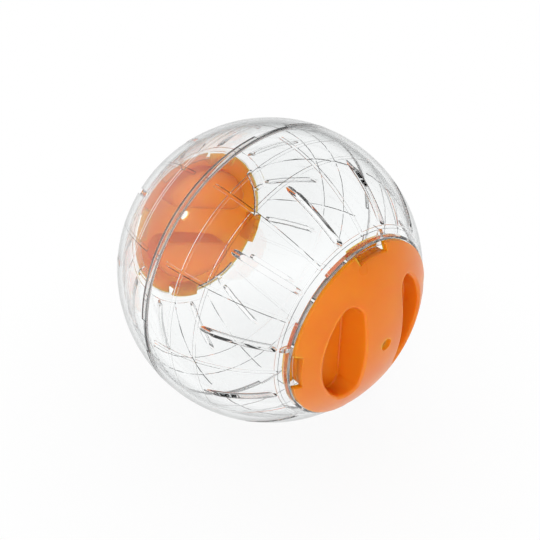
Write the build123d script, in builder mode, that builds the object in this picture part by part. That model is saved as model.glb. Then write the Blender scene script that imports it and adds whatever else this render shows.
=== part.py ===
import os
from math import acos, asin, cos, degrees, radians, sqrt

from build123d import *

# Pet exercise ball, millimetres. The door axis is X, +Z is up, the ball's centre is the origin.

# Clear shell halves
ball_radius = 60.0
shell_wall = 2.0
clearance = 0.3  # between pieces that move past each other
seam_gap = 0.3  # between the two rims
slot_count = 12
slot_width = 2.0
slot_low = 28.0  # degrees from the seam to the lower end of a slot
slot_rim = 4.07  # clear wall between a slot and the door opening
rib_width = 1.2
rib_height = 0.4
ring_height = 0.25
rib_low = 5.5  # degrees from the seam to the start of a meridian rib
rib_high = 50.0
ring_latitudes = (12.5, 22.5, 50.0)

# Lap joint at the seam: a tongue on the left half, a socket in the right half, four keys
lap_length = 2.0
lap_lip = 0.9
lap_clearance = 0.2
tongue_wall = 0.8
tongue_root = 1.0
tongue_lead = 0.3
key_count = 4
key_angle = 13.5

# Bayonet round each door opening
opening_radius = 34.9
ledge_reach = 2.9
ledge_wall = 1.2
lug_count = 4
lug_angle = 24.0
lug_wall = 1.2
entry_play = 2.5  # degrees on each side of a lug in its entry notch
stop_angle = 2.6

# Orange doors
door_proud = 0.5
door_wall = 1.8
skirt_wall = 1.5
rim_round = 0.4
bar_width = 19.8  # grip bar between the pockets, at the pocket floor
pocket_radius = 24.8
pocket_corner = 4.0
pocket_depth = 12.7  # pole to pocket floor
pocket_draft = 1.5
pocket_foot = 0.8
cup_round = 1.5
grip_round = 1.1
pole_hole_radius = 2.4
left_door_turn = 113.0  # the left door's bar from upright

# Derived sizes
inner_radius = ball_radius - shell_wall
rim_x = seam_gap / 2
dome_radius = ball_radius + door_proud
dome_inner = dome_radius - door_wall
door_radius = opening_radius - clearance
ledge_bore = opening_radius - ledge_reach
skirt_radius = ledge_bore - clearance
skirt_bore = skirt_radius - skirt_wall
rim_bottom = sqrt(dome_inner**2 - door_radius**2)
ledge_top = rim_bottom - clearance
ledge_bottom = ledge_top - ledge_wall
lug_top = ledge_bottom - clearance
lug_bottom = lug_top - lug_wall
pitch = 360 / lug_count
ledge_root = opening_radius + 0.8 * shell_wall
stop_bore = ledge_bore + clearance
stop_radius = sqrt(inner_radius**2 - lug_bottom**2) + shell_wall / 10
stop_middle = lug_angle / 2 + degrees(clearance / door_radius) + stop_angle / 2
floor_x = dome_radius - pocket_depth
cup_bottom = floor_x - door_wall
slot_inner = opening_radius + slot_rim
slot_outer = ball_radius * cos(radians(slot_low))
socket_radius = ball_radius - lap_lip
tongue_radius = socket_radius - lap_clearance


def ring_sector(inner: float, outer: float, middle: float, width: float) -> None:
    """Draw one sector of a ring in the open sketch, angles in degrees."""
    start = middle - width / 2
    with BuildLine() as outline:
        far = CenterArc((0, 0), outer, start, width)
        near = CenterArc((0, 0), inner, start, width)
        Line(far @ 0, near @ 0)
        Line(far @ 1, near @ 1)
    make_face(outline.edges())


def pocket_outline(grow: float) -> None:
    """Draw the D outline of the two finger pockets, grown outwards by a wall."""
    half = bar_width / 2 - grow
    arc = pocket_radius + grow
    with PolarLocations(0, 2):
        with Locations((half + arc, 0)):
            Rectangle(2 * arc, 4 * arc)
    Circle(arc, mode=Mode.INTERSECT)
    fillet(vertices(), pocket_corner + grow)


# One half in its own frame: rim at x = 0, door opening towards +X
with BuildPart() as half_form:
    with BuildSketch(Plane.XZ):
        with BuildLine():
            lip = degrees(asin(opening_radius / ball_radius))
            outer = CenterArc((0, 0), ball_radius, lip, degrees(acos(rim_x / ball_radius)) - lip)
            foot = degrees(asin(opening_radius / inner_radius))
            inner = CenterArc((0, 0), inner_radius, foot, degrees(acos(rim_x / inner_radius)) - foot)
            Line(outer @ 0, inner @ 0)
            Line(outer @ 1, inner @ 1)
        make_face()
    revolve(axis=Axis.X)

    # Low rings round the inside that give the feet grip
    with BuildSketch(Plane.XZ):
        for latitude in ring_latitudes:
            with PolarLocations(inner_radius, 1, start_angle=90 - latitude):
                Rectangle(2 * ring_height, rib_width)
    revolve(axis=Axis.X)

    # Vent slots, drawn along the door axis
    with BuildSketch(Plane.YZ):
        with PolarLocations((slot_inner + slot_outer) / 2, slot_count, start_angle=180 / slot_count):
            SlotOverall(slot_outer - slot_inner, slot_width)
    extrude(amount=ball_radius, mode=Mode.SUBTRACT)

    # Meridian ribs between the slots
    rib_planes = [Plane.XZ.rotated((k * 360 / slot_count, 0, 0)) for k in range(slot_count)]
    with BuildSketch(*rib_planes):
        ring_sector(
            inner_radius - rib_height,
            inner_radius + rib_height,
            90 - (rib_low + rib_high) / 2,
            rib_high - rib_low,
        )
    extrude(amount=rib_width / 2, both=True)

    # Ledge under the door's rim, open at the entry notches half way between the locked lugs
    with BuildSketch(Plane.YZ.offset(ledge_bottom)):
        for k in range(lug_count):
            ring_sector(ledge_bore, ledge_root, k * pitch, pitch - lug_angle - 2 * entry_play)
    extrude(amount=ledge_wall)

    # Stops under the ledge that end the locking turn
    with BuildSketch(Plane.YZ.offset(lug_bottom)):
        for k in range(lug_count):
            ring_sector(stop_bore, stop_radius, k * pitch - stop_middle, stop_angle)
    extrude(amount=ledge_bottom + ledge_wall / 2 - lug_bottom)

# Right half: socket for the tongue, notches for the keys
key_play = degrees(clearance / ball_radius)
with BuildPart() as right_half:
    add(half_form.part)
    with BuildSketch(Plane.XZ):
        with Locations((0, inner_radius - shell_wall)):
            Rectangle(
                lap_length + clearance,
                socket_radius - inner_radius + shell_wall,
                align=(Align.MIN, Align.MIN),
            )
    revolve(axis=Axis.X, mode=Mode.SUBTRACT)
    with BuildSketch(Plane.YZ):
        for k in range(key_count):
            ring_sector(
                inner_radius - shell_wall,
                ball_radius + shell_wall,
                k * 360 / key_count,
                key_angle + 2 * key_play,
            )
    extrude(amount=lap_length + clearance, mode=Mode.SUBTRACT)
right_half.part.label = "right_half"

# Keys of the left half, flush with the outside of the ball
with BuildPart() as key_tabs:
    with BuildSketch(Plane.YZ.offset(-shell_wall)):
        for k in range(key_count):
            ring_sector(
                tongue_radius - tongue_wall / 2,
                ball_radius + shell_wall,
                k * 360 / key_count,
                key_angle,
            )
    extrude(amount=lap_length + shell_wall)
    Sphere(ball_radius, mode=Mode.INTERSECT)

# Left half: the same form turned to face -X, with the tongue and the keys
with BuildPart() as left_half:
    add(half_form.part, rotation=(0, 0, 180))
    with BuildSketch(Plane.XZ):
        with BuildLine():
            Polyline(
                (-tongue_root, tongue_radius - tongue_wall),
                (lap_length, tongue_radius - tongue_wall),
                (lap_length, tongue_radius - tongue_lead),
                (lap_length - tongue_lead, tongue_radius),
                (-tongue_root, tongue_radius),
                close=True,
            )
        make_face()
    revolve(axis=Axis.X)
    add(key_tabs.part)
left_half.part.label = "left_half"

# Cups that carry the finger pockets on the inside of a door
with BuildPart() as pocket_cups:
    with BuildSketch(Plane.YZ.offset(cup_bottom)):
        pocket_outline(door_wall)
    extrude(amount=pocket_depth + door_wall, taper=-pocket_draft)
    fillet(edges().group_by(Axis.X)[0], cup_round)
    Sphere(dome_radius - door_wall / 2, mode=Mode.INTERSECT)

# Hollows of the finger pockets
with BuildPart() as pocket_voids:
    with BuildSketch(Plane.YZ.offset(floor_x)):
        pocket_outline(0)
    extrude(amount=pocket_depth + door_wall, taper=-pocket_draft)
    fillet(edges().group_by(Axis.X)[0], pocket_foot)

# One door in its own frame: grip bar upright, outside towards +X
with BuildPart() as door_form:
    with BuildSketch(Plane.XZ):
        with BuildLine():
            dome = CenterArc((0, 0), dome_radius, 0, degrees(asin(door_radius / dome_radius)))
            under = CenterArc((0, 0), dome_inner, 0, degrees(asin(door_radius / dome_inner)))
            Line(dome @ 0, under @ 0)
            Line(dome @ 1, under @ 1)
        make_face()
        fillet(vertices().sort_by_distance(dome @ 1)[0], rim_round)
    revolve(axis=Axis.X)
    add(pocket_cups.part)
    add(pocket_voids.part, mode=Mode.SUBTRACT)
    mouth = edges().filter_by(lambda e: abs((e @ 0.5).length - dome_radius) < 0.01)
    mouth = mouth.filter_by(lambda e: sqrt((e @ 0.5).Y ** 2 + (e @ 0.5).Z ** 2) < skirt_bore)
    fillet(mouth, grip_round)

    # Four skirt segments, each with a bayonet lug at its foot
    with BuildSketch(Plane.YZ.offset(lug_bottom)):
        for k in range(lug_count):
            ring_sector(skirt_bore, skirt_radius, k * pitch, lug_angle)
    extrude(amount=sqrt(dome_inner**2 - skirt_bore**2) + skirt_wall / 3 - lug_bottom)
    with BuildSketch(Plane.YZ.offset(lug_bottom)):
        for k in range(lug_count):
            ring_sector(skirt_bore + skirt_wall / 2, door_radius, k * pitch, lug_angle)
    extrude(amount=lug_wall)

    # Windows through the rim above the lugs
    with BuildSketch(Plane.YZ.offset(ledge_top)):
        for k in range(lug_count):
            ring_sector(skirt_radius + clearance, ball_radius, k * pitch, lug_angle)
    extrude(amount=ball_radius - ledge_top, mode=Mode.SUBTRACT)

    # Hole at the pole for a stand's pin
    with BuildSketch(Plane.YZ):
        Circle(pole_hole_radius)
    extrude(amount=2 * ball_radius, mode=Mode.SUBTRACT)

with BuildPart() as right_door:
    add(door_form.part)
right_door.part.label = "right_door"

with BuildPart() as left_door:
    with Locations(Rotation(-left_door_turn, 0, 0) * Rotation(0, 0, 180)):
        add(door_form.part)
left_door.part.label = "left_door"

os.makedirs("parts", exist_ok=True)
export_step(left_half.part, "parts/left_half.step")
export_step(right_half.part, "parts/right_half.step")
export_step(left_door.part, "parts/left_door.step")
export_step(right_door.part, "parts/right_door.step")
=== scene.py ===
import logging
import math
from dataclasses import dataclass, field
from enum import Enum

import bmesh
import bpy
from mathutils import Matrix, Vector


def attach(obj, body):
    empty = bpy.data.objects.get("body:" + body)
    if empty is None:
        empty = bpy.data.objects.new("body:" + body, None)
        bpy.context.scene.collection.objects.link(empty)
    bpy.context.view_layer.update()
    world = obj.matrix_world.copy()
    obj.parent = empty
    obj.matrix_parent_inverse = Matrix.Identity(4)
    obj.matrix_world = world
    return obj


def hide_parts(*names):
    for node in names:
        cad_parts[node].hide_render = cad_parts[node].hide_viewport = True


# A clear exercise ball for a small pet: two ribbed half shells that push together at a lap joint, and
# a bayonet door at each pole. Sizes are in millimetres. The door axis is X, and the centre is the origin.

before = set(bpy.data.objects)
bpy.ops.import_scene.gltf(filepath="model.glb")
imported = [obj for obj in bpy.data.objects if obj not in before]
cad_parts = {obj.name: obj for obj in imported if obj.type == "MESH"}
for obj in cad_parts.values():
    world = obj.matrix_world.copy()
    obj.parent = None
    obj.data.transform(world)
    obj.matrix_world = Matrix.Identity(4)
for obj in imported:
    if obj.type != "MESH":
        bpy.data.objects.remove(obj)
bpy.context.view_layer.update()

log = logging.getLogger("exercise_ball")
MM = 0.001
WHITE = (1.0, 1.0, 1.0, 1.0)
ON_SPHERE = 0.008  # mm, a point nearer than this to a sphere lies on it
LARGE_FACES = 80  # how strongly large faces lead the shading of small ones, where 50 is even
BOX_FACES = (  # the faces of a box whose corners 0 to 3 are at its low end and 4 to 7 at its high end
    (0, 1, 3, 2),
    (4, 6, 7, 5),
    (0, 4, 5, 1),
    (2, 3, 7, 6),
    (0, 2, 6, 4),
    (1, 5, 7, 3),
)


def linear(code: str) -> tuple[float, float, float, float]:
    """Turn an sRGB hex colour into the linear colour that a shader takes.

    Args:
        code: six hex digits, with or without a leading hash sign.

    Returns:
        Linear red, green and blue, and an alpha of 1.
    """
    parts = [int(code.lstrip("#")[i : i + 2], 16) / 255 for i in (0, 2, 4)]
    red, green, blue = (c / 12.92 if c <= 0.04045 else ((c + 0.055) / 1.055) ** 2.4 for c in parts)
    return red, green, blue, 1.0


def add_node(
    tree: bpy.types.NodeTree,
    kind: str,
    links: dict[str, bpy.types.NodeSocket] | None = None,
    values: dict[str, object] | None = None,
    **settings: object,
) -> bpy.types.Node:
    """Add a node to a tree with its settings, socket values and incoming links.

    Args:
        tree: the shader or geometry tree.
        kind: the node's type name.
        links: input socket name or index, as text, to the output that feeds it.
        values: input socket name or index, as text, to its constant.
        settings: properties of the node itself.

    Returns:
        The new node.
    """
    node = tree.nodes.new(kind)
    for name, value in settings.items():
        setattr(node, name, value)
    for name, value in (values or {}).items():
        node.inputs[int(name) if name.isdigit() else name].default_value = value
    for name, source in (links or {}).items():
        tree.links.new(source, node.inputs[int(name) if name.isdigit() else name])
    return node


def fresh_material(name: str) -> bpy.types.Material:
    """Make a material with an empty node tree.

    Args:
        name: the real material and its finish.

    Returns:
        The material.
    """
    material = bpy.data.materials.new(name)
    material.use_nodes = True
    material.node_tree.nodes.clear()
    return material


class Side(Enum):
    """The two poles of the ball."""

    LEFT = "left"
    RIGHT = "right"

    @property
    def turn(self) -> Matrix:
        """The turn that carries a form drawn for the right pole to this pole."""
        return Matrix.Rotation(0.0 if self is Side.RIGHT else math.pi, 4, "Z")


@dataclass(frozen=True)
class ClearPolystyrene:
    """Crystal polystyrene, as clear as the skin of its mould leaves it."""

    skin: str = "polished mould"
    tint: str = "#FEFFFF"
    painted_bend_shade: str = "#D4D7D7"  # painted shade where the look runs along the wall, in place of the darker room that its edges show
    # painted shade, darker still, at the silhouette and on slot walls and rib flanks
    painted_edge_shade: str = "#6C7070"
    tint_until: float = 0.64  # how far the look has turned from square on, up to 1 along the wall
    bend_at: float = 0.75
    edge_from: float = 0.87
    ior: float = 1.59
    roughness_low: float = 0.0
    roughness_high: float = 0.03
    flow_width: float = 14.0  # mm, slow waves left by the melt as it filled the mould
    flow_depth: float = 0.02  # mm
    flow_detail: float = 3.0
    flow_span: tuple[float, float] = (0.4, 0.7)  # part of the waves' range that changes the roughness

    def make(self) -> bpy.types.Material:
        """Build the shader tree.

        Returns:
            The finished material.
        """
        # Glass-clear with a cold hint; it shows itself by its edges, its ribs and bright reflections.
        # With a satin skin it scatters the light, and reads as a soft grey line.
        material = fresh_material(f"clear polystyrene, {self.skin}")
        tree = material.node_tree
        place = add_node(tree, "ShaderNodeTexCoord").outputs["Object"]
        flow = add_node(
            tree,
            "ShaderNodeTexNoise",
            {"Vector": place},
            {"Scale": 1 / (self.flow_width * MM), "Detail": self.flow_detail},
        )
        rough = add_node(
            tree,
            "ShaderNodeMapRange",
            {"Value": flow.outputs["Fac"]},
            {
                "From Min": self.flow_span[0],
                "From Max": self.flow_span[1],
                "To Min": self.roughness_low,
                "To Max": self.roughness_high,
            },
        )
        waves = add_node(
            tree,
            "ShaderNodeBump",
            {"Height": flow.outputs["Fac"]},
            {"Strength": 1.0, "Distance": self.flow_depth * MM},
        )
        # Painted shade: the wall greys and then darkens as the look turns along it, in place of the darker
        # room that its edges, ribs and slots would take in.
        graze = add_node(tree, "ShaderNodeLayerWeight", values={"Blend": 0.5})
        depth = add_node(tree, "ShaderNodeValToRGB", {"Fac": graze.outputs["Facing"]})
        ramp = depth.color_ramp.elements
        ramp[0].position = self.tint_until
        ramp[0].color = linear(self.tint)
        ramp[1].position = self.edge_from
        ramp[1].color = linear(self.painted_edge_shade)
        ramp.new(self.bend_at).color = linear(self.painted_bend_shade)
        clear = add_node(
            tree,
            "ShaderNodeBsdfPrincipled",
            {
                "Base Color": depth.outputs["Color"],
                "Roughness": rough.outputs["Result"],
                "Normal": waves.outputs["Normal"],
            },
            {"IOR": self.ior, "Transmission Weight": 1.0},
        )
        # Lamp light passes straight through a thin clear wall, so the shell throws almost no shadow.
        through = add_node(tree, "ShaderNodeBsdfTransparent", values={"Color": WHITE})
        path = add_node(tree, "ShaderNodeLightPath")
        either = add_node(
            tree,
            "ShaderNodeMixShader",
            {"0": path.outputs["Is Shadow Ray"], "1": clear.outputs["BSDF"], "2": through.outputs["BSDF"]},
        )
        add_node(tree, "ShaderNodeOutputMaterial", {"Surface": either.outputs["Shader"]})
        return material


@dataclass(frozen=True)
class OrangePolypropylene:
    """Coloured polypropylene from a smooth mould."""

    deep: str = "#D96C0E"
    pale: str = "#E07B1C"
    ior: float = 1.49
    gloss: float = 0.4
    roughness_low: float = 0.26
    roughness_high: float = 0.36
    sink: tuple[float, float, float] = (1.4, 1.65, 0.5)  # how far red, green and blue light run inside
    sink_scale: float = 5.0  # mm
    swirl: float = 22.0  # mm, slow drift of the pigment through a moulding
    swirl_span: tuple[float, float] = (0.2, 0.8)  # part of the drift's range that is used
    grain: float = 0.5  # mm, satin tooth of the mould, drawn coarse enough to show
    grain_depth: float = 0.004  # mm
    grain_strength: float = 0.5
    detail: float = 2.0

    def make(self) -> bpy.types.Material:
        """Build the shader tree.

        Returns:
            The finished material.
        """
        # A warm, slightly waxy orange: light sinks a little way in, and the gloss is broad and soft.
        material = fresh_material("orange polypropylene, smooth mould")
        tree = material.node_tree
        place = add_node(tree, "ShaderNodeTexCoord").outputs["Object"]
        drift = add_node(
            tree,
            "ShaderNodeTexNoise",
            {"Vector": place},
            {"Scale": 1 / (self.swirl * MM), "Detail": self.detail},
        )
        colour = add_node(tree, "ShaderNodeValToRGB", {"Fac": drift.outputs["Fac"]})
        ramp = colour.color_ramp.elements
        ramp[0].position = self.swirl_span[0]
        ramp[0].color = linear(self.deep)
        ramp[1].position = self.swirl_span[1]
        ramp[1].color = linear(self.pale)
        tooth = add_node(
            tree,
            "ShaderNodeTexNoise",
            {"Vector": place},
            {"Scale": 1 / (self.grain * MM), "Detail": self.detail},
        )
        rough = add_node(
            tree,
            "ShaderNodeMapRange",
            {"Value": drift.outputs["Fac"]},
            {
                "From Min": self.swirl_span[0],
                "From Max": self.swirl_span[1],
                "To Min": self.roughness_low,
                "To Max": self.roughness_high,
            },
        )
        skin = add_node(
            tree,
            "ShaderNodeBump",
            {"Height": tooth.outputs["Fac"]},
            {"Strength": self.grain_strength, "Distance": self.grain_depth * MM},
        )
        plastic = add_node(
            tree,
            "ShaderNodeBsdfPrincipled",
            {
                "Base Color": colour.outputs["Color"],
                "Roughness": rough.outputs["Result"],
                "Normal": skin.outputs["Normal"],
            },
            {
                "IOR": self.ior,
                "Specular IOR Level": self.gloss,
                "Subsurface Weight": 1.0,
                "Subsurface Radius": self.sink,
                "Subsurface Scale": self.sink_scale * MM,
            },
        )
        add_node(tree, "ShaderNodeOutputMaterial", {"Surface": plastic.outputs["BSDF"]})
        return material


@dataclass(frozen=True)
class StudioWhite:
    """Matt white paper sweep of the studio floor."""

    paper: str = "#F2F2F2"
    glow: float = 0.88  # share of plain white that a look at the paper shows, so that it reads as white
    shade_near: float = 70.0  # mm from the ball's centre, where the paper's own shade starts to fade
    shade_far: float = 160.0  # mm, where it is gone

    def make(self) -> bpy.types.Material:
        """Build the shader tree.

        Returns:
            The finished material.
        """
        # Flat white without gloss: it only takes the soft shadow of the ball.
        material = fresh_material("matt white paper")
        tree = material.node_tree
        paper = add_node(tree, "ShaderNodeBsdfDiffuse", values={"Color": linear(self.paper)})
        white = add_node(tree, "ShaderNodeEmission", values={"Color": WHITE, "Strength": 1.0})
        place = add_node(tree, "ShaderNodeTexCoord").outputs["Object"]
        away = add_node(tree, "ShaderNodeVectorMath", {"0": place}, operation="LENGTH")
        level = add_node(
            tree,
            "ShaderNodeMapRange",
            {"Value": away.outputs["Value"]},
            {
                "From Min": self.shade_near * MM,
                "From Max": self.shade_far * MM,
                "To Min": self.glow,
                "To Max": 1.0,
            },
        )
        share = add_node(
            tree,
            "ShaderNodeMath",
            {"0": seen_directly(tree), "1": level.outputs["Result"]},
            operation="MULTIPLY",
        )
        mixed = add_node(
            tree,
            "ShaderNodeMixShader",
            {"0": share.outputs[0], "1": paper.outputs["BSDF"], "2": white.outputs["Emission"]},
        )
        add_node(tree, "ShaderNodeOutputMaterial", {"Surface": mixed.outputs["Shader"]})
        return material


def seen_directly(tree: bpy.types.NodeTree) -> bpy.types.NodeSocket:
    """Tell camera, glossy and transmission rays from the rest.

    Args:
        tree: the shader tree to add the test to.

    Returns:
        A value of 1 for those rays and 0 for others.
    """
    path = add_node(tree, "ShaderNodeLightPath")
    some = add_node(
        tree,
        "ShaderNodeMath",
        {"0": path.outputs["Is Camera Ray"], "1": path.outputs["Is Glossy Ray"]},
        operation="MAXIMUM",
    )
    every = add_node(
        tree,
        "ShaderNodeMath",
        {"0": some.outputs[0], "1": path.outputs["Is Transmission Ray"]},
        operation="MAXIMUM",
    )
    return every.outputs[0]


def exact_normals(mesh: bpy.types.Mesh, spheres: dict[float, float]) -> None:
    """Give faces that lie on a known sphere its true normals, and leave the others as shaded.

    Args:
        mesh: the finished mesh, in metres.
        spheres: radius in millimetres to the sign of its outward normal.
    """
    mesh.update()
    normals = [Vector(n.vector) for n in mesh.corner_normals]
    for polygon in mesh.polygons:
        reach = [mesh.vertices[v].co.length / MM for v in polygon.vertices]
        for radius, sign in spheres.items():
            if max(reach) - radius < ON_SPHERE and radius - min(reach) < ON_SPHERE:
                for loop in polygon.loop_indices:
                    spot = mesh.vertices[mesh.loops[loop].vertex_index].co
                    normals[loop] = sign * spot.normalized()
    mesh.normals_split_custom_set([tuple(n) for n in normals])


def settled(obj: bpy.types.Object) -> bpy.types.Mesh:
    """Turn an object with live modifiers into a plain mesh, and take the modifiers off.

    Args:
        obj: the object, in the scene.

    Returns:
        The mesh that the modifiers make.
    """
    bpy.context.view_layer.update()
    mesh = bpy.data.meshes.new_from_object(obj.evaluated_get(bpy.context.evaluated_depsgraph_get()))
    obj.modifiers.clear()
    return mesh


def link_mesh(name: str, mesh: bpy.types.Mesh) -> bpy.types.Object:
    """Put a mesh into the scene under a name.

    Args:
        name: the new object's name.
        mesh: its mesh.

    Returns:
        The object.
    """
    obj = bpy.data.objects.new(name, mesh)
    bpy.context.scene.collection.objects.link(obj)
    return obj


def about_axis(x: float, rho: float, angle: float) -> tuple[float, float, float]:
    """Place a point that is given round the door axis.

    Args:
        x: mm along the door axis.
        rho: mm from it.
        angle: radians from +Z towards +Y.

    Returns:
        The point, in metres.
    """
    return x * MM, rho * math.sin(angle) * MM, rho * math.cos(angle) * MM


def turned_copies() -> tuple[bpy.types.NodeTree, dict[str, str]]:
    """Build the tree that repeats one quadrant of a half shell round the door axis and welds it shut.

    Returns:
        The tree, and the identifier of each named input.
    """
    tree = bpy.data.node_groups.new("Quadrants round the door axis", "GeometryNodeTree")
    kinds = {
        "Geometry": "NodeSocketGeometry",
        "Copies": "NodeSocketInt",
        "Weld Distance": "NodeSocketFloat",
    }
    names = {
        name: tree.interface.new_socket(name, in_out="INPUT", socket_type=kind).identifier
        for name, kind in kinds.items()
    }
    tree.interface.new_socket("Geometry", in_out="OUTPUT", socket_type="NodeSocketGeometry")
    given = add_node(tree, "NodeGroupInput").outputs
    step = add_node(
        tree, "ShaderNodeMath", {"1": given["Copies"]}, {"0": 2 * math.pi}, operation="DIVIDE"
    )
    index = add_node(tree, "GeometryNodeInputIndex")
    angle = add_node(
        tree, "ShaderNodeMath", {"0": index.outputs[0], "1": step.outputs[0]}, operation="MULTIPLY"
    )
    turn = add_node(tree, "ShaderNodeCombineXYZ", {"X": angle.outputs[0]})
    points = add_node(tree, "GeometryNodePoints", {"Count": given["Copies"]})
    copies = add_node(
        tree,
        "GeometryNodeInstanceOnPoints",
        {
            "Points": points.outputs[0],
            "Instance": given["Geometry"],
            "Rotation": turn.outputs[0],
        },
    )
    real = add_node(tree, "GeometryNodeRealizeInstances", {"Geometry": copies.outputs[0]})
    weld = add_node(
        tree,
        "GeometryNodeMergeByDistance",
        {"Geometry": real.outputs[0], "Distance": given["Weld Distance"]},
    )
    add_node(tree, "NodeGroupOutput", {"0": weld.outputs[0]})
    return tree, names


class Lane(Enum):
    """What a line of mesh points from the rim to the door opening keeps its distance from."""

    RIB = "rib"
    EVEN = "even"
    SLOT = "slot"


@dataclass(frozen=True)
class Column:
    """One line of mesh points that runs from the rim of a half to its door opening."""

    lane: Lane
    offset: float  # mm from the rib or slot, or the share of the way between them
    mirrored: bool = False  # beyond the slot, measured from the next rib
    keyed: bool = False  # within a key or a key notch of the rim
    ledged: bool = True  # within a ledge of the bayonet

    def angle(self, shell: "HalfShell", sector: int, rho: float) -> float:
        """Find where the line stands.

        Args:
            shell: the half that holds the sizes.
            sector: the number of the 30 degree sector.
            rho: mm from the door axis.

        Returns:
            The angle from +Z towards +Y, in radians.
        """
        width = 2 * math.pi / shell.slot_count
        near = math.asin(shell.rib_lanes[-1] / rho)
        far = width / 2 - math.asin(shell.slot_margin / rho)
        if self.lane is Lane.RIB:
            share = math.asin(self.offset / rho)
        elif self.lane is Lane.EVEN:
            share = near + self.offset * (far - near)
        else:
            share = width / 2 + math.asin(self.offset / rho)
        return sector * width + (width - share if self.mirrored else share)


@dataclass(frozen=True)
class Row:
    """One line of mesh points round the door axis on the outer or inner face of a half."""

    rho: float  # mm from the door axis
    end: int = 0  # +1 and -1 for the round ends of the slots, towards the rim and towards the door


@dataclass
class HalfShell:
    """One clear half shell, drawn with its door opening towards +X and its rim at x = 0."""

    side: Side
    ball_radius: float = 60.0
    shell_wall: float = 2.0
    seam_gap: float = 0.3
    edge: float = 0.2  # small round on every edge of the moulding
    weld: float = 0.002  # points nearer than this are one
    slot_count: int = 12
    slot_width: float = 2.0
    slot_inner: float = 38.97
    slot_outer: float = 52.98
    slot_steps: int = 9  # mesh rows along a slot
    slot_round: int = 8  # mesh steps round the end of a slot
    wall_steps: int = 4  # mesh columns from a rib to where a key ends, and as many steps on to the slot
    slot_margin: float = 1.9  # plain wall beside a slot, from its middle
    slot_frame: tuple[float, float] = (0.44, 0.5)  # plain wall past the ends by the rim and by the door
    rib_height: float = 0.4
    rib_low: float = 5.5
    rib_high: float = 50.0
    rib_fade: float = 0.4  # degrees in which the end of a rib rises
    rib_lanes: tuple[float, ...] = (0.0, 0.53, 0.6, 0.67, 0.95)  # middle, crest, flank, foot, plain wall
    ring_height: float = 0.25
    ring_latitudes: tuple[float, ...] = (12.5, 22.5, 50.0)
    outer_foot: float = 0.8  # plain wall past the lap, before the first row of the outer face
    outer_latitudes: tuple[float, ...] = (6.5, 9.0, 11.5, 14.0, 16.5, 19.0, 21.5, 23.5, 25.3)
    collar_rows: tuple[float, ...] = (37.5, 36.6, 35.8)
    inner_foot: float = 3.6  # degrees to the first row of the inner face
    inner_latitudes: tuple[tuple[float, ...], ...] = (  # plain rows up to each ring and past the last
        (7.0, 8.5, 10.0, 11.3),
        (13.7, 15.0, 16.5, 18.0, 19.5, 21.2),
        (48.7,),
        (51.2,),
    )
    lap_length: float = 2.0
    lap_lip: float = 0.9
    lap_clearance: float = 0.2
    lap_slack: float = 0.26  # past the floor of the socket, so that its rounded edge counts as seam
    clearance: float = 0.3
    tongue_wall: float = 0.8
    tongue_lead: float = 0.3
    key_count: int = 4
    key_angle: float = 13.5
    opening_radius: float = 34.9
    ledge_bore: float = 32.0
    ledge_top: float = 47.12
    ledge_wall: float = 1.2
    stop_count: int = 4
    stop_angle: float = 2.6
    stop_middle: float = 13.8
    stop_bore: float = 32.3
    stop_depth: float = 1.5
    skin_depth: float = 0.01  # a face deeper than this in the wall isn't one of the two round faces
    end_on: float = 0.7  # how squarely an end face looks along the door axis, at the least
    sharp_angle: float = 58.0  # degrees between two faces above which their edge stays sharp
    columns: list[list[Column]] = field(default_factory=list)

    @property
    def name(self) -> str:
        """The CAD node and body that this half stands for."""
        return f"{self.side.value}_half"

    @property
    def inner_radius(self) -> float:
        """Radius of the inside face."""
        return self.ball_radius - self.shell_wall

    @property
    def hole(self) -> float:
        """Half the width of a slot at the faces, where its edge is rounded."""
        return self.slot_width / 2 + self.edge

    def lay_columns(self) -> None:
        """Lay out the mesh columns of the three sectors of a quadrant.

        A column is doubled where a key or a ledge ends, so that the wall there stands upright.
        """
        half_key = math.radians(self.key_angle / 2)
        if self.side is Side.RIGHT:
            half_key += self.clearance / self.ball_radius
        near = math.asin(self.rib_lanes[-1] / self.ball_radius)
        far = math.pi / self.slot_count - math.asin(self.slot_margin / self.ball_radius)
        key = (half_key - near) / (far - near)
        steps = self.wall_steps
        even = [key * k / steps for k in range(1, steps + 1)]
        even += [key + (1 - key) * k / steps for k in range(1, steps)]
        turns = [math.radians(180 * k / self.slot_round - 90) for k in range(self.slot_round + 1)]
        sides = [math.sin(a) * self.hole for a in turns]
        slot = [Column(Lane.SLOT, t) for t in (-self.slot_margin, *sides, self.slot_margin)]
        last = self.rib_lanes[1]
        sectors = self.slot_count // self.key_count
        for sector in range(sectors):
            ledged = sector != sectors // 2
            lanes: list[list[Column]] = []
            for mirrored in (False, True):
                keyed = sector == (sectors - 1 if mirrored else 0)
                near_rib = [u for u in self.rib_lanes if ledged or u <= last]
                side = [Column(Lane.RIB, u, mirrored, keyed, True) for u in near_rib]
                if not ledged:
                    off_ledge = [u for u in self.rib_lanes if u >= last]
                    side += [Column(Lane.RIB, u, mirrored, False, False) for u in off_ledge]
                for f in even:
                    side.append(Column(Lane.EVEN, f, mirrored, keyed and f <= key, ledged))
                    if keyed and f == key:
                        side.append(Column(Lane.EVEN, f, mirrored, False, ledged))
                lanes.append(side)
            middle = [Column(c.lane, c.offset, False, False, ledged) for c in slot]
            self.columns.append([*lanes[0], *middle, *reversed(lanes[1])])

    def slot_rows(self) -> list[Row]:
        """Lay out the rows that follow the slots.

        Returns:
            The rows, from the end by the rim to the end by the door.
        """
        first = self.slot_outer - self.slot_width / 2
        last = self.slot_inner + self.slot_width / 2
        step = (first - last) / self.slot_steps
        inside = [Row(first - step * k) for k in range(1, self.slot_steps)]
        return [Row(first, 1), *inside, Row(last, -1)]

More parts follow.
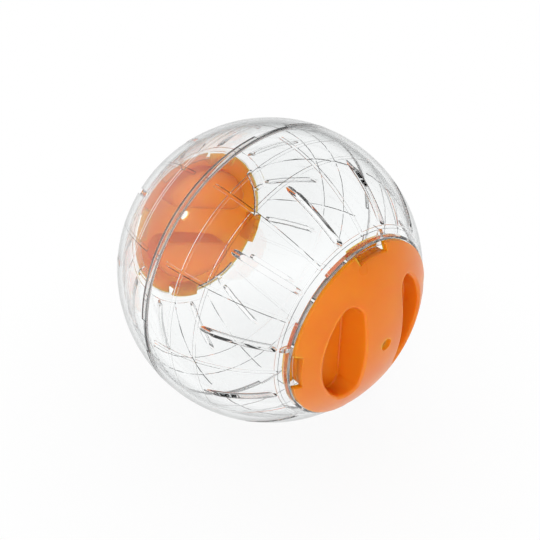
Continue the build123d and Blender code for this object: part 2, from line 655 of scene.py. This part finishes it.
    def outer_rows(self) -> list[Row]:
        """Lay out the rows of the outer face.

        Returns:
            The rows, from the rim to the door opening.
        """
        foot = self.outer_foot + self.lap_length
        low = [math.sqrt(self.ball_radius**2 - foot**2)]
        low += [self.ball_radius * math.cos(math.radians(a)) for a in self.outer_latitudes]
        low.append(self.slot_outer + self.slot_frame[0])
        high = [self.slot_inner - self.slot_frame[1], *self.collar_rows, self.opening_radius + self.edge]
        return [*map(Row, low), *self.slot_rows(), *map(Row, high)]

    def inner_rows(self) -> list[Row]:
        """Lay out the rows of the inner face.

        Returns:
            The rows, from the rim to the door opening.
        """
        radius = self.inner_radius
        steps = self.rib_lanes[:4]
        across = [-v for v in reversed(steps[1:])] + list(steps)
        rings = [[a + math.degrees(v / radius) for v in across] for a in self.ring_latitudes]
        first, second, third, last = self.inner_latitudes
        low = [self.inner_foot, self.rib_low - self.rib_fade, self.rib_low, *first, *rings[0]]
        low += [*second, *rings[1]]
        high = [*third, *rings[2], *last]
        below = [Row(radius * math.cos(math.radians(a))) for a in low]
        above = [Row(radius * math.cos(math.radians(a))) for a in high]
        return [*below, *self.slot_rows(), *above]

    def raised(self, latitude: float, off: float) -> float:
        """Find how far the inside stands proud of its sphere.

        Args:
            latitude: radians from the seam.
            off: mm from the nearest meridian rib's middle.

        Returns:
            The height of the rib or ring there, in mm.
        """
        foot = self.rib_lanes[3]
        ramp = foot - self.rib_lanes[1]
        degrees = math.degrees(latitude)
        within = min(degrees - self.rib_low, self.rib_high - degrees)
        ends = within / self.rib_fade + 1
        height = self.rib_height * min(max((foot - off) / ramp, 0.0), 1.0) * min(max(ends, 0.0), 1.0)
        for ring in self.ring_latitudes:
            along = abs(latitude - math.radians(ring)) * self.inner_radius
            height = max(height, self.ring_height * min(max((foot - along) / ramp, 0.0), 1.0))
        return height

    def rim_points(self, keyed: bool) -> list[tuple[float, float]]:
        """Section of the lap joint, from the inner face to the outer face.

        Args:
            keyed: true within a key or key notch.

        Returns:
            Distance along the door axis and from it, in mm, the last one on the outer face.
        """
        edge = self.edge
        rim = self.seam_gap / 2
        ball = self.ball_radius
        socket = ball - self.lap_lip
        if self.side is Side.RIGHT:
            floor = self.lap_length + self.clearance
            start = [(floor, math.sqrt(self.inner_radius**2 - floor**2)), (floor, socket)]
            if keyed:
                low = math.sqrt(ball**2 - floor**2) - edge
                return [
                    *start,
                    (floor, socket + edge),
                    (floor, socket + 2 * edge),
                    (floor, low),
                    (floor + edge, math.sqrt(ball**2 - (floor + edge) ** 2)),
                ]
            end = (rim + edge, math.sqrt(ball**2 - (rim + edge) ** 2))
            return [*start, (rim + edge, socket), (rim, socket + edge), (rim, ball - edge), end]
        tongue = socket - self.lap_clearance
        bore = tongue - self.tongue_wall
        tip = -self.lap_length
        start = [
            (rim + edge, math.sqrt(self.inner_radius**2 - (rim + edge) ** 2)),
            (rim, bore),
            (tip + edge, bore),
            (tip, bore + edge),
            (tip, tongue - self.tongue_lead),
        ]
        end = (rim + edge, math.sqrt(ball**2 - (rim + edge) ** 2))
        if keyed:
            crest = math.sqrt(ball**2 - (tip + edge) ** 2)
            return [*start, (tip, tongue + edge), (tip, crest - edge), (tip + edge, crest), end]
        return [*start, (tip + self.tongue_lead, tongue), (rim, tongue), (rim, ball - edge), end]

    def mouth_points(self, ledged: bool) -> list[tuple[float, float]]:
        """Section of the door opening, from the outer face to the inner face.

        Args:
            ledged: true within a ledge of the bayonet.

        Returns:
            Distance along the door axis and from it, in mm, the last one on the inner face.
        """
        edge = self.edge
        bore = self.opening_radius
        lip = math.sqrt(self.ball_radius**2 - bore**2)
        top = self.ledge_top
        start = [(lip - edge, bore), (top, bore)]
        if ledged:
            reach = self.ledge_bore
            low = top - self.ledge_wall
            return [
                *start,
                (top, reach + edge),
                (top - edge, reach),
                (low + edge, reach),
                (low, reach + edge),
                (low, math.sqrt(self.inner_radius**2 - low**2)),
            ]
        foot = math.sqrt(self.inner_radius**2 - bore**2)
        drop = (top - foot - edge) / 4
        wall = [(top - drop * k, bore) for k in (1, 2, 3, 4)]
        return [*start, *wall, (math.sqrt(self.inner_radius**2 - (bore + edge) ** 2), bore + edge)]

    def quadrant(self) -> bpy.types.Mesh:
        """Draw one quarter of the half as an open strip of quads.

        Returns:
            The mesh, in metres.
        """
        outer, inner = self.outer_rows(), self.inner_rows()
        build = bmesh.new()
        for sector, columns in enumerate(self.columns):
            lines = [self.line(build, sector, column, outer, inner) for column in columns]
            lower = outer.index(next(r for r in outer if r.end == 1))
            upper = lower + self.slot_steps
            inner_start = len(outer) + len(self.mouth_points(True))
            inner_end = inner_start + len(inner) - 1
            far_low = inner_end - inner.index(next(r for r in inner if r.end == 1))
            far_high = far_low - self.slot_steps
            in_slot = [c.lane is Lane.SLOT and abs(c.offset) <= self.hole for c in columns]
            open_columns = [k for k, within in enumerate(in_slot) if within]
            for k in range(len(columns) - 1):
                for j in range(len(lines[0])):
                    follow = (j + 1) % len(lines[0])
                    if k in open_columns[:-1] and (lower <= j < upper or far_high <= j < far_low):
                        continue
                    build.faces.new((lines[k][j], lines[k][follow], lines[k + 1][follow], lines[k + 1][j]))
            first, last = open_columns[0], open_columns[-1]
            ring = [(k, 0) for k in range(first, last + 1)]
            ring += [(last, n) for n in range(1, self.slot_steps)]
            ring += [(k, self.slot_steps) for k in range(last, first - 1, -1)]
            ring += [(first, n) for n in range(self.slot_steps - 1, 0, -1)]
            self.line_slot(build, sector, columns, lines, ring, lower, far_low)
        bmesh.ops.remove_doubles(build, verts=build.verts, dist=self.weld * MM / 2)
        bmesh.ops.dissolve_degenerate(build, edges=build.edges, dist=self.weld * MM / 20)
        mesh = bpy.data.meshes.new(f"{self.name} quadrant")
        build.to_mesh(mesh)
        build.free()
        return mesh

    def line(
        self, build: bmesh.types.BMesh, sector: int, column: Column, outer: list[Row], inner: list[Row]
    ) -> list[bmesh.types.BMVert]:
        """Draw the closed section of one column.

        Args:
            build: the mesh to draw in.
            sector: the number of the 30 degree sector.
            column: the column.
            outer: rows of the outer face.
            inner: rows of the inner face.

        Returns:
            The points in order: outer face, door opening, inner face back to the rim, lap joint.
        """
        spots: list[tuple[float, float, float]] = []
        for row in outer:
            rho, angle = self.seat(column, sector, row)
            spots.append((math.sqrt(self.ball_radius**2 - rho**2), rho, angle))
        for x, rho in self.mouth_points(column.ledged):
            spots.append((x, rho, column.angle(self, sector, rho)))
        for row in reversed(inner):
            rho, angle = self.seat(column, sector, row)
            latitude = math.acos(rho / self.inner_radius)
            off = column.offset if column.lane is Lane.RIB else self.slot_margin
            radius = self.inner_radius - self.raised(latitude, off)
            spots.append((radius * math.sin(latitude), radius * math.cos(latitude), angle))
        for x, rho in self.rim_points(column.keyed):
            spots.append((x, rho, column.angle(self, sector, rho)))
        return [build.verts.new(about_axis(*spot)) for spot in spots]

    def seat(self, column: Column, sector: int, row: Row) -> tuple[float, float]:
        """Place the crossing of a row and a column, with the round ends of the slots.

        Args:
            column: the column.
            sector: the number of the 30 degree sector.
            row: the row.

        Returns:
            Distance from the door axis in mm, and the angle in radians.
        """
        rho = row.rho
        if row.end and column.lane is Lane.SLOT and abs(column.offset) < self.hole:
            rho += row.end * math.sqrt(self.hole**2 - column.offset**2)
        return rho, column.angle(self, sector, rho)

    def line_slot(
        self,
        build: bmesh.types.BMesh,
        sector: int,
        columns: list[Column],
        lines: list[list[bmesh.types.BMVert]],
        ring: list[tuple[int, int]],
        outer_start: int,
        inner_start: int,
    ) -> None:
        """Wall a slot from the outer face to the inner face, with rounded edges.

        Args:
            build: the mesh to draw in.
            sector: the number of the 30 degree sector.
            columns: the sector's columns.
            lines: the drawn points of each column.
            ring: column and row number of each point round the slot.
            outer_start: index of the slot's first row on the outer face.
            inner_start: index of the slot's first row on the inner face.
        """
        rows = self.slot_rows()
        scale = self.slot_width / 2 / self.hole
        loops: list[list[bmesh.types.BMVert]] = [[lines[k][outer_start + n] for k, n in ring]]
        for radius in (self.ball_radius - self.edge, self.inner_radius + self.edge):
            loop = []
            for k, n in ring:
                column, row = columns[k], rows[n]
                rho = row.rho
                if row.end:
                    rho += scale * row.end * math.sqrt(max(self.hole**2 - column.offset**2, 0.0))
                angle = Column(Lane.SLOT, column.offset * scale).angle(self, sector, rho)
                spot = about_axis(math.sqrt(radius**2 - rho**2), rho, angle)
                loop.append(build.verts.new(spot))
            loops.append(loop)
        loops.append([lines[k][inner_start - n] for k, n in ring])
        for near, far in zip(loops, loops[1:]):
            for k in range(len(ring)):
                after = (k + 1) % len(ring)
                build.faces.new((near[k], near[after], far[after], far[k]))

    def stops(self) -> bpy.types.Mesh:
        """Draw the four stops under the ledges that end the locking turn of a door.

        Returns:
            The mesh, in metres.
        """
        build = bmesh.new()
        low = self.ledge_top - self.ledge_wall - self.stop_depth
        high = self.ledge_top - self.ledge_wall / 2
        reach = math.sqrt(self.inner_radius**2 - low**2) + self.shell_wall / 10
        for number in range(self.stop_count):
            middle = 360 / self.stop_count * number + self.stop_middle
            edges = [math.radians(middle + side * self.stop_angle / 2) for side in (-1, 1)]
            corners = [(rho, angle) for rho in (self.stop_bore, reach) for angle in edges]
            spots = [about_axis(x, rho, angle) for x in (low, high) for rho, angle in corners]
            points = [build.verts.new(spot) for spot in spots]
            for face in BOX_FACES:
                build.faces.new([points[k] for k in face])
        bmesh.ops.recalc_face_normals(build, faces=build.faces)
        mesh = bpy.data.meshes.new(f"{self.name} stops")
        build.to_mesh(mesh)
        build.free()
        return mesh

    def crosses_seam(self, mesh: bpy.types.Mesh, face: bpy.types.MeshPolygon) -> bool:
        """Tell the end faces of the lap joint from the polished rest of the half.

        Args:
            mesh: the half's mesh, in metres.
            face: one of its faces.

        Returns:
            True for a face across the wall at the seam, such as the end of the lip or of the tongue.
        """
        spots = [mesh.vertices[v].co / MM for v in face.vertices]
        reach = [spot.length for spot in spots]
        depth = self.lap_length + self.clearance + self.lap_slack
        at_seam = max(abs(spot.x) for spot in spots) < depth
        under_skin = min(reach) < self.ball_radius - self.skin_depth
        over_bore = max(reach) > self.inner_radius + self.skin_depth
        return at_seam and under_skin and over_bore and abs(face.normal.x) > self.end_on

    def build(self, finish: bpy.types.Material, end_finish: bpy.types.Material) -> bpy.types.Object:
        """Make the half: one drawn quadrant, repeated, welded, joined to its stops and turned to its pole.

        Args:
            finish: the clear plastic.
            end_finish: the same plastic with the satin skin of the end faces at the seam.

        Returns:
            The finished piece.
        """
        self.lay_columns()
        part = link_mesh(self.name + "_shell", self.quadrant())
        tree, names = turned_copies()
        repeat = part.modifiers.new("quadrants", "NODES")
        repeat.node_group = tree
        repeat[names["Copies"]] = self.key_count
        repeat[names["Weld Distance"]] = self.weld * MM
        part.data = settled(part)
        whole = bmesh.new()
        whole.from_mesh(part.data)
        bmesh.ops.recalc_face_normals(whole, faces=whole.faces)
        whole.to_mesh(part.data)
        whole.free()
        added = link_mesh(self.name + "_stops", self.stops())
        join = part.modifiers.new("stops", "BOOLEAN")
        join.operation = "UNION"
        join.solver = "MANIFOLD"
        join.object = added
        part.data = settled(part)
        bpy.data.objects.remove(added)
        part.data.transform(self.side.turn)
        self.dress(part, finish, end_finish)
        return part

    def dress(
        self, part: bpy.types.Object, finish: bpy.types.Material, end_finish: bpy.types.Material
    ) -> None:
        """Shade the half, give it its finishes and hand it to its body.

        Args:
            part: the built half.
            finish: the clear plastic.
            end_finish: the same plastic with the satin skin of the end faces at the seam.
        """
        part.data.materials.clear()
        part.data.materials.append(finish)
        part.data.materials.append(end_finish)
        for face in part.data.polygons:
            face.material_index = int(self.crosses_seam(part.data, face))
        shade(part, self.sharp_angle)
        crests = [self.inner_radius - h for h in (0.0, self.rib_height, self.ring_height)]
        exact_normals(part.data, {self.ball_radius: 1.0, **{radius: -1.0 for radius in crests}})
        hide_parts(self.name)
        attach(part, self.name)


def shade(part: bpy.types.Object, angle: float) -> None:
    """Shade a piece smooth with sharp edges above an angle, so that flat faces stay flat.

    Args:
        part: the piece.
        angle: degrees between two faces above which their edge is sharp.
    """
    part.data.shade_smooth()
    part.data.set_sharp_from_angle(angle=math.radians(angle))
    weigh = part.modifiers.new("flat faces", "WEIGHTED_NORMAL")
    weigh.keep_sharp = True
    weigh.weight = LARGE_FACES
    part.data = settled(part)


@dataclass
class Door:
    """One orange bayonet door: a dome with two finger pockets, and four skirt segments with lugs."""

    side: Side
    dome_radius: float = 60.5
    door_wall: float = 1.8
    weld: float = 0.002  # points nearer than this are one
    sharp_angle: float = 32.0  # degrees between two faces above which their edge stays sharp

    @property
    def name(self) -> str:
        """The CAD node and body that this door stands for."""
        return f"{self.side.value}_door"

    def build(self, finish: bpy.types.Material) -> bpy.types.Object:
        """Make the door from a welded copy of its solid.

        Args:
            finish: the orange plastic.

        Returns:
            The finished piece.
        """
        part = link_mesh(self.name + "_moulding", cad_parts[self.name].data.copy())
        whole = bmesh.new()
        whole.from_mesh(part.data)
        bmesh.ops.remove_doubles(whole, verts=whole.verts, dist=self.weld * MM)
        bmesh.ops.dissolve_degenerate(whole, edges=whole.edges, dist=self.weld * MM / 4)
        whole.to_mesh(part.data)
        whole.free()
        self.dress(part, finish)
        return part

    def dress(self, part: bpy.types.Object, finish: bpy.types.Material) -> None:
        """Shade the door, give it its finish and hand it to its body.

        Args:
            part: the built door.
            finish: the orange plastic.
        """
        part.data.materials.clear()
        part.data.materials.append(finish)
        shade(part, self.sharp_angle)
        exact_normals(part.data, {self.dome_radius: 1.0, self.dome_radius - self.door_wall: -1.0})
        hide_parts(self.name)
        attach(part, self.name)


@dataclass(frozen=True)
class Softbox:
    """One square lamp that faces the ball."""

    name: str
    place: tuple[float, float, float]
    width: float
    power: float  # W

    def hang(self) -> None:
        """Hang the lamp in its place.

        Gloss and clear walls don't mirror it, because they show the room instead.
        """
        data = bpy.data.lights.new(self.name, "AREA")
        data.shape = "SQUARE"
        data.size = self.width * MM
        data.energy = self.power
        lamp = bpy.data.objects.new(self.name, data)
        lamp.location = Vector(self.place) * MM
        lamp.rotation_euler = (-lamp.location).to_track_quat("-Z", "Y").to_euler()
        lamp.visible_glossy = False
        lamp.visible_transmission = False
        bpy.context.scene.collection.objects.link(lamp)


@dataclass
class Studio:
    """Camera, lamps, paper floor and surroundings."""

    camera_distance: float = 267.0
    camera_from: tuple[float, float, float] = (0.6095, -0.5464, 0.5744)
    lens: float = 44.23
    sensor: float = 36.0
    clip: tuple[float, float] = (10.0, 50000.0)
    floor_height: float = -60.4
    floor_size: float = 6000.0
    window_from: tuple[float, float, float] = (0.1, -1.0, 0.1)  # the way to the room's bright side
    window_span: tuple[float, float] = (-0.3, 0.2)  # where the room turns bright, as a cosine to that way
    room_light: float = 0.65  # the room away from its bright side, as gloss and glass show it
    ceiling_light: float = 0.1  # and right above
    ceiling_span: tuple[float, float] = (0.6, 0.95)  # where the ceiling turns dark, as a sine of height
    soft_light: float = 0.35  # the even light of the room on everything else
    bounces: int = 32
    gloss_bounces: int = 9  # light that is caught in a slot's wall is lost after these, a dark stroke
    lamps: tuple[Softbox, ...] = (
        Softbox("key softbox", (460.0, -540.0, 220.0), 600.0, 3.7),
        Softbox("back softbox", (-600.0, 60.0, 120.0), 500.0, 2.9),
        Softbox("top softbox", (-60.0, 60.0, 800.0), 600.0, 1.2),
        Softbox("fill softbox", (380.0, 600.0, 160.0), 500.0, 1.6),
    )

    def build(self) -> None:
        """Set up everything round the object.

        The camera stands where the photograph was taken.
        """
        scene = bpy.context.scene
        scene.view_settings.view_transform = "Standard"
        # Light runs a long way inside clear walls before it comes out, so it gets more bounces.
        scene.cycles.max_bounces = self.bounces
        scene.cycles.glossy_bounces = self.gloss_bounces
        scene.cycles.transmission_bounces = self.bounces
        scene.cycles.transparent_max_bounces = self.bounces
        data = bpy.data.cameras.new("photograph")
        data.sensor_width = self.sensor
        data.lens = self.lens
        data.clip_start = self.clip[0] * MM
        data.clip_end = self.clip[1] * MM
        camera = bpy.data.objects.new("photograph", data)
        away = Vector(self.camera_from).normalized()
        camera.location = away * self.camera_distance * MM
        camera.rotation_euler = (-away).to_track_quat("-Z", "Y").to_euler()
        scene.collection.objects.link(camera)
        scene.camera = camera
        for lamp in self.lamps:
            lamp.hang()
        self.lay_floor()
        self.surround()

    def lay_floor(self) -> None:
        """Lay the white paper under the ball.

        It is a set piece and no piece of the ball.
        """
        half = self.floor_size / 2 * MM
        level = self.floor_height * MM
        corners = [(x * half, y * half, level) for x, y in ((-1, -1), (1, -1), (1, 1), (-1, 1))]
        mesh = bpy.data.meshes.new("paper floor")
        mesh.from_pydata(corners, [], [(0, 1, 2, 3)])
        mesh.materials.append(StudioWhite().make())
        link_mesh("paper floor", mesh)

    def surround(self) -> None:
        """Surround the set with a white room that has a bright side and a dark ceiling.

        Gloss and clear walls show that room. A direct look at it is plain white, and its light on
        everything else is even.
        """
        world = bpy.data.worlds.new("white surround")
        world.use_nodes = True
        tree = world.node_tree
        tree.nodes.clear()
        soft = add_node(tree, "ShaderNodeBackground", values={"Color": WHITE, "Strength": self.soft_light})
        look = add_node(tree, "ShaderNodeTexCoord").outputs["Generated"]
        way = add_node(
            tree,
            "ShaderNodeVectorMath",
            {"0": look},
            {"1": Vector(self.window_from).normalized()},
            operation="DOT_PRODUCT",
        )
        side = add_node(
            tree,
            "ShaderNodeMapRange",
            {"Value": way.outputs["Value"]},
            {
                "From Min": self.window_span[0],
                "From Max": self.window_span[1],
                "To Min": self.room_light,
                "To Max": 1.0,
            },
        )
        height = add_node(tree, "ShaderNodeSeparateXYZ", {"0": look})
        ceiling = add_node(
            tree,
            "ShaderNodeMapRange",
            {"Value": height.outputs["Z"]},
            {
                "From Min": self.ceiling_span[0],
                "From Max": self.ceiling_span[1],
                "To Min": 1.0,
                "To Max": self.ceiling_light,
            },
        )
        room = add_node(
            tree,
            "ShaderNodeMath",
            {"0": side.outputs["Result"], "1": ceiling.outputs["Result"]},
            operation="MULTIPLY",
        )
        camera = add_node(tree, "ShaderNodeLightPath").outputs["Is Camera Ray"]
        level = add_node(
            tree, "ShaderNodeMath", {"0": room.outputs[0], "1": camera}, operation="MAXIMUM"
        )
        white = add_node(tree, "ShaderNodeBackground", {"Strength": level.outputs[0]}, {"Color": WHITE})
        mixed = add_node(
            tree,
            "ShaderNodeMixShader",
            {"0": seen_directly(tree), "1": soft.outputs[0], "2": white.outputs[0]},
        )
        add_node(tree, "ShaderNodeOutputWorld", {"Surface": mixed.outputs[0]})
        bpy.context.scene.world = world


def main() -> None:
    """Build the ball piece by piece and set it in the studio.

    The triangle count of each finished piece is logged as it is made.
    """
    logging.basicConfig(level=logging.INFO, format="%(name)s: %(message)s")
    clear = ClearPolystyrene().make()
    satin = ClearPolystyrene(skin="satin ends", roughness_low=0.4, roughness_high=0.5).make()
    orange = OrangePolypropylene().make()
    for side in Side:
        for part in (HalfShell(side).build(clear, satin), Door(side).build(orange)):
            triangles = sum(len(face.vertices) - 2 for face in part.data.polygons)
            log.info("%s: %d triangles", part.name, triangles)
    Studio().build()


if __name__ == "__main__":
    main()
